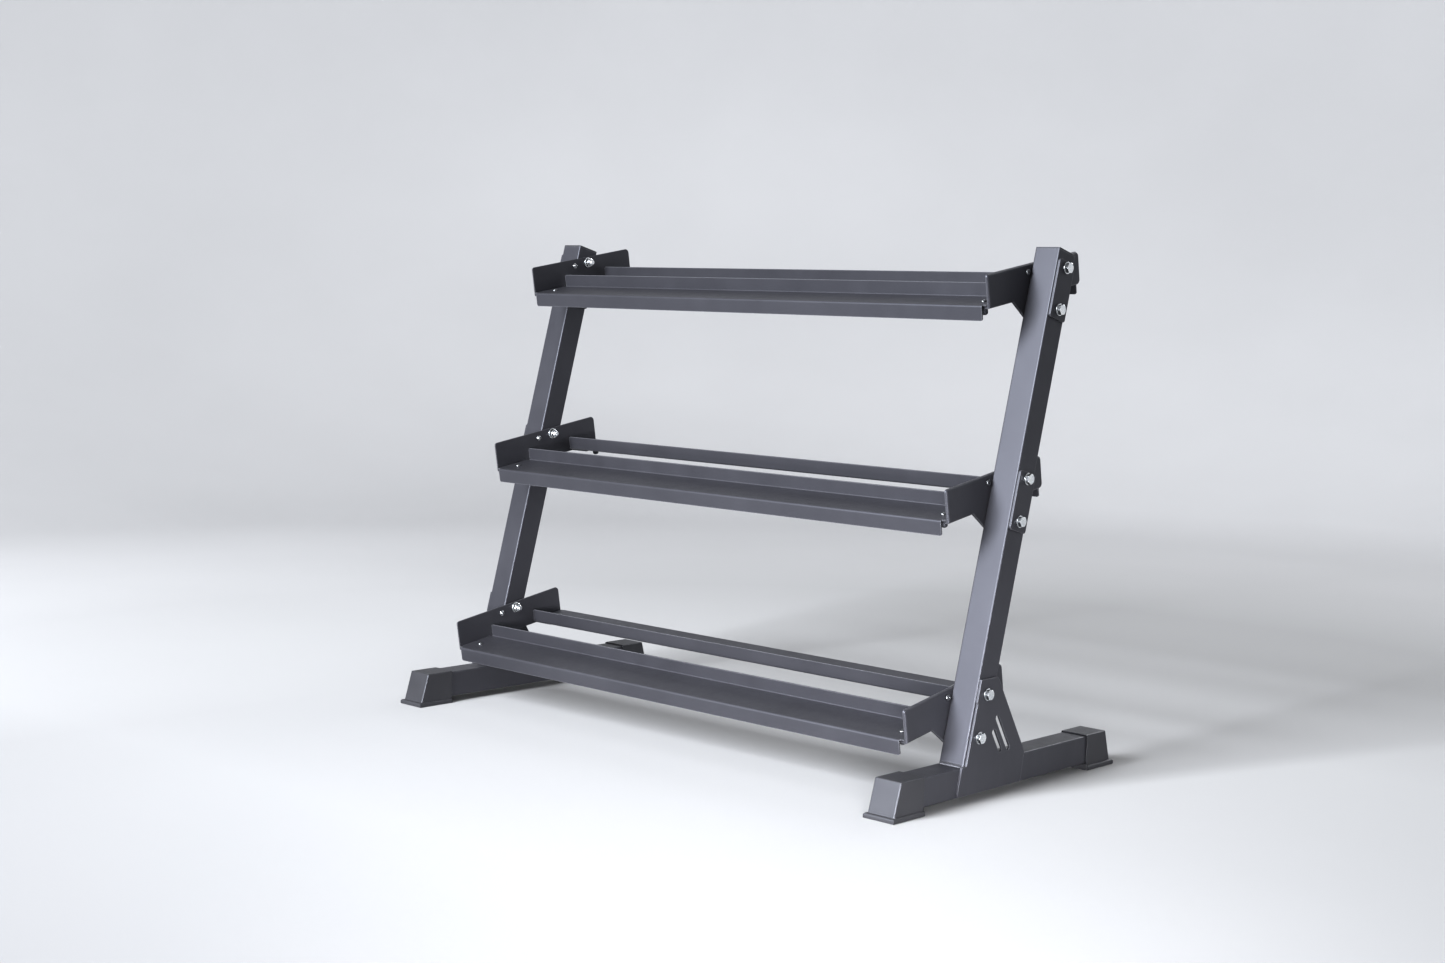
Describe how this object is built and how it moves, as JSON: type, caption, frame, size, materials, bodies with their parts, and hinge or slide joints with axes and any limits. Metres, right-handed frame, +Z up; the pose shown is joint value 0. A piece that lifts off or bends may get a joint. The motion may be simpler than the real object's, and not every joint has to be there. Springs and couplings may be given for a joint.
{
  "type": "dumbbell rack",
  "caption": "Free-standing sloped steel storage rack with leaning square-tube sides, sheet-metal rails and plastic foot caps, for hex dumbbells.",
  "frame": {"origin": "on the floor, at the middle of the rack's width and of its feet's length", "axes": "+X to the right-hand side seen from the front, +Y to the rear, +Z up"},
  "size_m": [1.2708, 0.65, 0.933],
  "materials": {
    "black_powder_coat": "fine-textured matte powder coat",
    "zinc_plate": "bright zinc plate",
    "foot_plastic": "moulded matte plastic with a slight sheen",
    "plug_plastic": "moulded matte plastic"
  },
  "bodies": {
    "root": {"end_plate_bottom_left": "black_powder_coat", "end_plate_bottom_right": "black_powder_coat", "end_plate_middle_left": "black_powder_coat", "end_plate_middle_right": "black_powder_coat", "end_plate_top_left": "black_powder_coat", "end_plate_top_right": "black_powder_coat", "foot_cap_front_left": "foot_plastic", "foot_cap_front_right": "foot_plastic", "foot_cap_rear_left": "foot_plastic", "foot_cap_rear_right": "foot_plastic", "foot_tube_left": "black_powder_coat", "foot_tube_right": "black_powder_coat", "frame_bolts": "zinc_plate", "frame_lock_nuts": "zinc_plate", "frame_washers_inner": "zinc_plate", "frame_washers_outer": "zinc_plate", "gusset_plate_left": "black_powder_coat", "gusset_plate_right": "black_powder_coat", "outer_plate_middle_left": "black_powder_coat", "outer_plate_middle_right": "black_powder_coat", "outer_plate_top_left": "black_powder_coat", "outer_plate_top_right": "black_powder_coat", "rail_front_bottom": "black_powder_coat", "rail_front_middle": "black_powder_coat", "rail_front_top": "black_powder_coat", "rail_rear_bottom": "black_powder_coat", "rail_rear_middle": "black_powder_coat", "rail_rear_top": "black_powder_coat", "rail_screw_nuts": "black_powder_coat", "rail_screws": "zinc_plate", "side_screw_nuts": "zinc_plate", "side_screws": "zinc_plate", "upright_left": "black_powder_coat", "upright_plug_left": "plug_plastic", "upright_plug_right": "plug_plastic", "upright_right": "black_powder_coat", "weld_front_left": "black_powder_coat", "weld_front_right": "black_powder_coat", "weld_rear_left": "black_powder_coat", "weld_rear_right": "black_powder_coat"}
  },
  "joints": []
}
